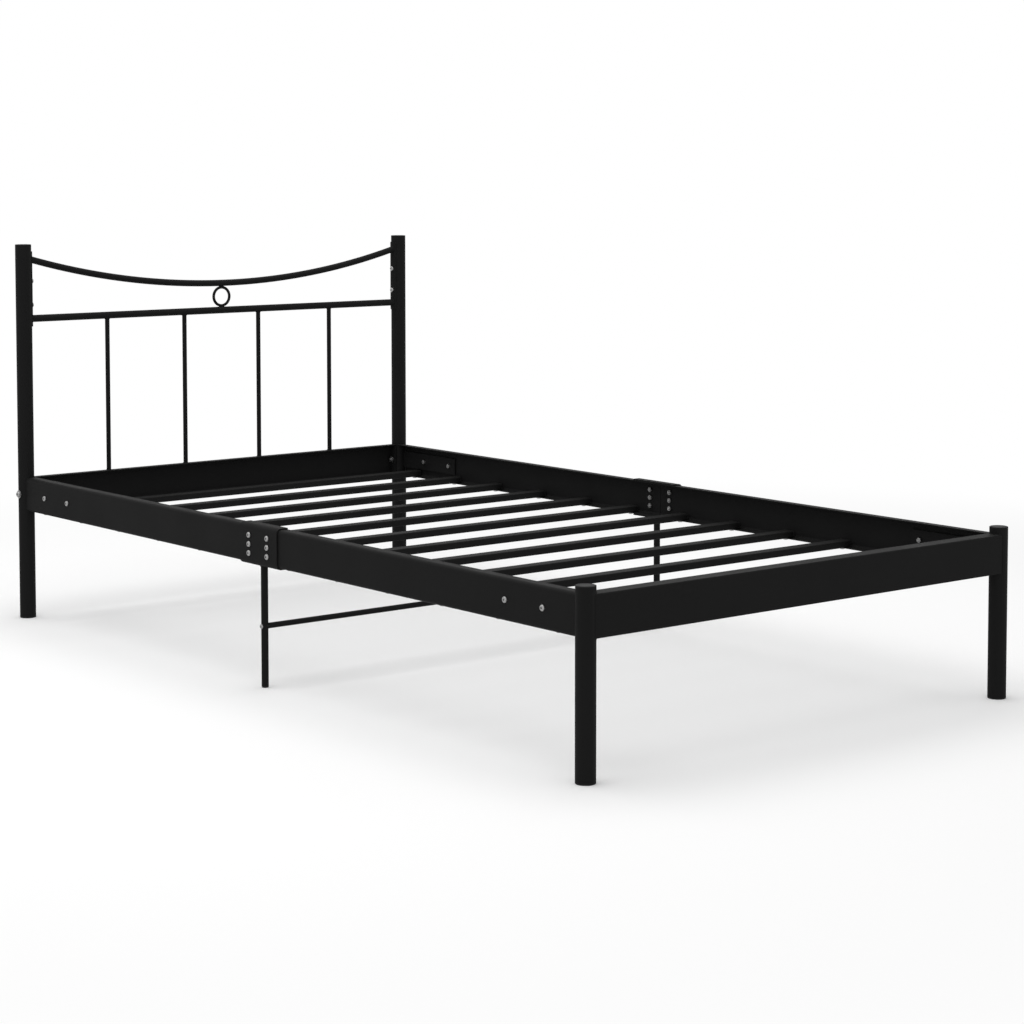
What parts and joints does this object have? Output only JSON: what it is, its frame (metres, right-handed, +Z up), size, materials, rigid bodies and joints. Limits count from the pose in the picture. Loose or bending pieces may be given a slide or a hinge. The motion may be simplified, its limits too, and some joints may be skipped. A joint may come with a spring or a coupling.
{
  "type": "metal bed frame",
  "caption": "Metal bed frame for a single mattress: round posts, rolled channel rails joined by bolted sleeves, a slat deck, middle legs, and an open headboard with a sagging top rail.",
  "frame": {"origin": "on the floor, under the middle of the four posts", "axes": "+Z up; +Y along the bed towards the headboard; +X to the right for someone standing at the foot and looking at the headboard"},
  "size_m": [1.1562, 2.104, 0.897],
  "materials": {
    "black_steel": "black powder coat, satin, with a fine grain",
    "black_plastic": "moulded, fine matte texture",
    "zinc_plated_steel": "bright zinc plating"
  },
  "bodies": {
    "root": {"crossbar_plugs": "zinc_plated_steel", "crossbar_screws": "zinc_plated_steel", "foot_post_cap_left": "black_plastic", "foot_post_cap_right": "black_plastic", "foot_post_left": "black_steel", "foot_post_right": "black_steel", "foot_rail": "black_steel", "head_post_cap_left": "black_plastic", "head_post_cap_right": "black_plastic", "head_post_left": "black_steel", "head_post_right": "black_steel", "head_rail": "black_steel", "head_rail_bolts": "zinc_plated_steel", "head_rail_end_plates": "black_steel", "head_rail_nuts": "zinc_plated_steel", "head_rail_washers": "zinc_plated_steel", "headboard_bolts": "zinc_plated_steel", "headboard_end_plate_left": "black_steel", "headboard_end_plate_right": "black_steel", "headboard_mid_rail": "black_steel", "headboard_ring": "black_steel", "headboard_spindle_1": "black_steel", "headboard_spindle_2": "black_steel", "headboard_spindle_3": "black_steel", "headboard_spindle_4": "black_steel", "headboard_top_rail": "black_steel", "post_glides": "black_plastic", "rail_bolts": "zinc_plated_steel", "rail_nuts": "zinc_plated_steel", "rail_sleeve_left": "black_steel", "rail_sleeve_right": "black_steel", "rail_tongue_left_foot": "black_steel", "rail_tongue_left_head": "black_steel", "rail_tongue_right_foot": "black_steel", "rail_tongue_right_head": "black_steel", "rivet_nuts": "zinc_plated_steel", "side_rail_left_foot": "black_steel", "side_rail_left_head": "black_steel", "side_rail_right_foot": "black_steel", "side_rail_right_head": "black_steel", "slat_01": "black_steel", "slat_02": "black_steel", "slat_03": "black_steel", "slat_04": "black_steel", "slat_05": "black_steel", "slat_06": "black_steel", "slat_07": "black_steel", "slat_08": "black_steel", "slat_09": "black_steel", "slat_10": "black_steel", "slat_11": "black_steel", "slat_12": "black_steel", "slat_bolts": "zinc_plated_steel", "slat_end_plugs": "black_plastic", "support_crossbar": "black_steel", "support_leg_feet": "black_plastic", "support_leg_left": "black_steel", "support_leg_right": "black_steel"}
  },
  "joints": []
}
